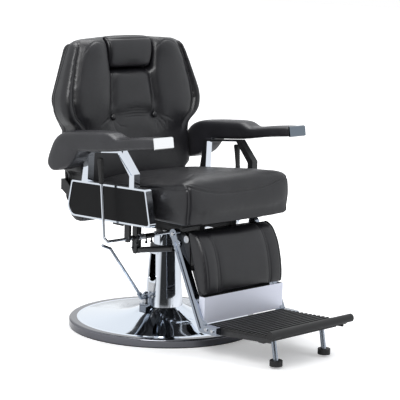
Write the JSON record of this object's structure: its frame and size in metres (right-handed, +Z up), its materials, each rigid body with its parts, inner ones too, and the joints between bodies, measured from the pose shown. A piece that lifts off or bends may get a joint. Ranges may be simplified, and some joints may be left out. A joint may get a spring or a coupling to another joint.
{
  "type": "barber_chair",
  "caption": "Barber chair on a round chromed base: hydraulic column, reclining back coupled to a leg rest, side recline lever, sliding headrest",
  "frame": {"origin": "centre of the column's axis on the floor plane", "axes": "+Z up, the chair faces -Y, +X to the sitter's left"},
  "size_m": [0.736, 1.056, 1.032],
  "materials": {
    "chrome": "polished",
    "steel": "satin",
    "black_paint": "satin",
    "black_plastic": "matte",
    "rubber": "matte",
    "plywood": "raw",
    "upholstery": "semi-gloss"
  },
  "bodies": {
    "base": {"foot_ring": "rubber", "rim_ring": "chrome", "base_dish": "chrome", "pump_body": "black_paint", "pump_gland": "steel", "neck_bolts": "steel", "column_sleeve": "chrome", "sleeve_strip": "steel", "sleeve_collar": "black_plastic", "pump_bracket": "black_paint", "pump_pivot_pin": "steel"},
    "pump_lever": {"pump_lever_hub": "black_paint", "pump_lever_rod": "steel"},
    "pump_plunger": {"pump_plunger": "steel"},
    "lift": {"lift_ram": "chrome", "lift_tube": "chrome"},
    "seat": {"swivel_hub": "black_paint", "hub_bolts": "steel", "seat_frame": "black_paint", "seat_board": "plywood", "seat_cushion": "upholstery", "side_trim_left": "chrome", "side_trim_right": "chrome", "side_panel_left": "black_plastic", "side_panel_right": "black_plastic", "arm_bracket_left": "chrome", "arm_bracket_right": "chrome", "arm_pad_left": "upholstery", "arm_pad_right": "upholstery", "arm_cap_left": "chrome", "arm_cap_right": "chrome", "shaft_hangers": "black_paint", "return_spring": "steel", "lock_bracket": "black_paint", "pivot_pins": "steel", "frame_bolts": "steel"},
    "recline_lever": {"recline_shaft": "chrome", "lever_grip_left": "rubber", "lever_grip_right": "rubber", "release_arms": "black_paint"},
    "lock_cylinder": {"lock_cylinder": "black_paint"},
    "lock_rod": {"lock_rod": "chrome"},
    "coupling_link": {"coupling_link": "steel"},
    "backrest": {"back_frame": "black_paint", "back_board": "black_plastic", "back_cushion": "upholstery", "back_buttons": "upholstery"},
    "headrest": {"headrest_pad": "upholstery", "headrest_bar": "steel"},
    "legrest": {"leg_arm_left": "chrome", "leg_arm_right": "chrome", "leg_frame": "black_paint", "calf_board": "plywood", "calf_pad": "upholstery", "kick_plate": "chrome", "tread_frame": "black_paint", "tread_mat": "rubber", "footrest_legs": "chrome", "rubber_feet": "rubber", "leg_bolts": "steel"}
  },
  "joints": [
    {"name": "lift", "type": "slide", "parent": "base", "child": "lift", "axis": [0, 0, 1], "range_m": [0, 0.15]},
    {"name": "swivel", "type": "hinge", "parent": "lift", "child": "seat", "pos_m": [0, 0, 0.36], "axis": [0, 0, 1], "continuous": true},
    {"name": "pump_lever", "type": "hinge", "parent": "base", "child": "pump_lever", "pos_m": [-0.076, 0, 0.118], "axis": [0, -1, 0], "range_deg": [0, 25], "stiffness_Nm_per_rad": 12, "springref_deg": -28.65},
    {"name": "pump_plunger", "type": "slide", "parent": "base", "child": "pump_plunger", "axis": [0, 0, -1], "range_m": [0, 0.012]},
    {"name": "recline_lever", "type": "hinge", "parent": "seat", "child": "recline_lever", "pos_m": [0, -0.05, 0.35], "axis": [1, 0, 0], "range_deg": [0, 18], "stiffness_Nm_per_rad": 6, "springref_deg": -28.65},
    {"name": "recline", "type": "hinge", "parent": "seat", "child": "backrest", "pos_m": [0, 0.17, 0.44], "axis": [-1, 0, 0], "range_deg": [0, 50]},
    {"name": "headrest_slide", "type": "slide", "parent": "backrest", "child": "headrest", "axis": [0, 0, 1], "range_m": [0, 0.12]},
    {"name": "link_swing", "type": "hinge", "parent": "backrest", "child": "coupling_link", "pos_m": [0.148, 0.16608, 0.39517], "axis": [-1, 0, 0], "range_deg": [-50.5, 0.5]},
    {"name": "leg_raise", "type": "hinge", "parent": "seat", "child": "legrest", "pos_m": [0, -0.297, 0.38], "axis": [-1, 0, 0], "range_deg": [-0.5, 50.5]},
    {"name": "lock_swing", "type": "hinge", "parent": "seat", "child": "lock_cylinder", "pos_m": [-0.148, -0.01, 0.295], "axis": [-1, 0, 0], "range_deg": [-1, 1]},
    {"name": "lock_stroke", "type": "slide", "parent": "lock_cylinder", "child": "lock_rod", "axis": [0, -0.9839, 0.1789], "range_m": [-0.001, 0.033]}
  ],
  "couplings": [
    {"joint": "pump_plunger", "follows": "pump_lever", "m_per_rad": 0.0262},
    {"joint": "leg_raise", "follows": "recline", "ratio": 1},
    {"joint": "link_swing", "follows": "recline", "ratio": -1},
    {"joint": "lock_swing", "follows": "recline", "ratio": -0.00845},
    {"joint": "lock_stroke", "follows": "recline", "m_per_rad": 0.03575}
  ]
}
